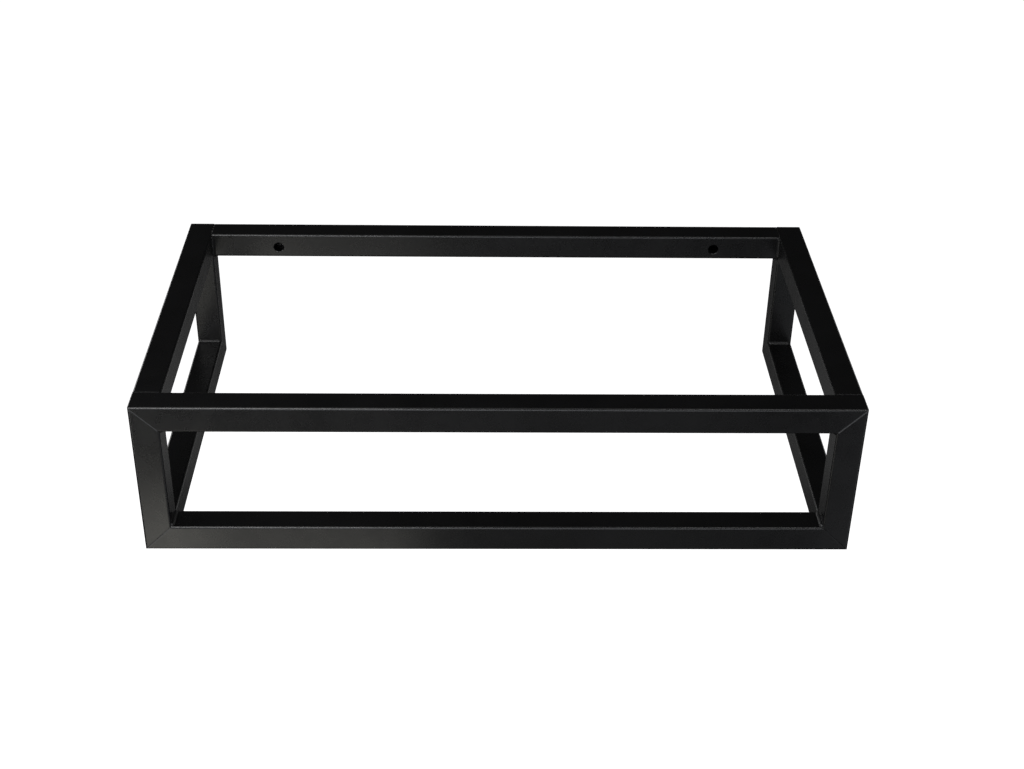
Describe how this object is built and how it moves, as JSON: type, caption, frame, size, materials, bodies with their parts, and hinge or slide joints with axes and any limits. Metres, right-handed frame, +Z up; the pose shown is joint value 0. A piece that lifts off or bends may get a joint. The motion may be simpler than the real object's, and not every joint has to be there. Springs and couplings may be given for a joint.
{
  "type": "wall-mounted washbasin frame",
  "caption": "Rigid wall-hung frame of welded square steel tube in black powder coat, open on every side, that carries a washbasin or a countertop.",
  "frame": {"origin": "on the wall plane, midway between the two wall screw holes of the rear top rail", "axes": "+X to the viewer's right along the wall, +Y into the wall (the front faces -Y), +Z up"},
  "size_m": [0.75, 0.415, 0.18],
  "materials": {
    "powder_coat": "satin black powder coat on steel tube",
    "coated_weld": "satin black powder coat over weld metal"
  },
  "bodies": {
    "root": {"front_top_rail": "powder_coat", "front_bottom_rail": "powder_coat", "front_left_upright": "powder_coat", "front_right_upright": "powder_coat", "left_top_rail": "powder_coat", "right_top_rail": "powder_coat", "left_bottom_rail": "powder_coat", "right_bottom_rail": "powder_coat", "rear_left_upright": "powder_coat", "rear_right_upright": "powder_coat", "rear_top_rail": "powder_coat", "weld_front_top_left": "coated_weld", "weld_front_top_right": "coated_weld", "weld_front_bottom_left": "coated_weld", "weld_front_bottom_right": "coated_weld", "weld_left_top_rail": "coated_weld", "weld_right_top_rail": "coated_weld", "weld_left_bottom_rail": "coated_weld", "weld_right_bottom_rail": "coated_weld", "weld_rear_top_left": "coated_weld", "weld_rear_top_right": "coated_weld", "weld_rear_bottom_left": "coated_weld", "weld_rear_bottom_right": "coated_weld", "weld_rear_rail_left": "coated_weld", "weld_rear_rail_right": "coated_weld"}
  },
  "joints": []
}
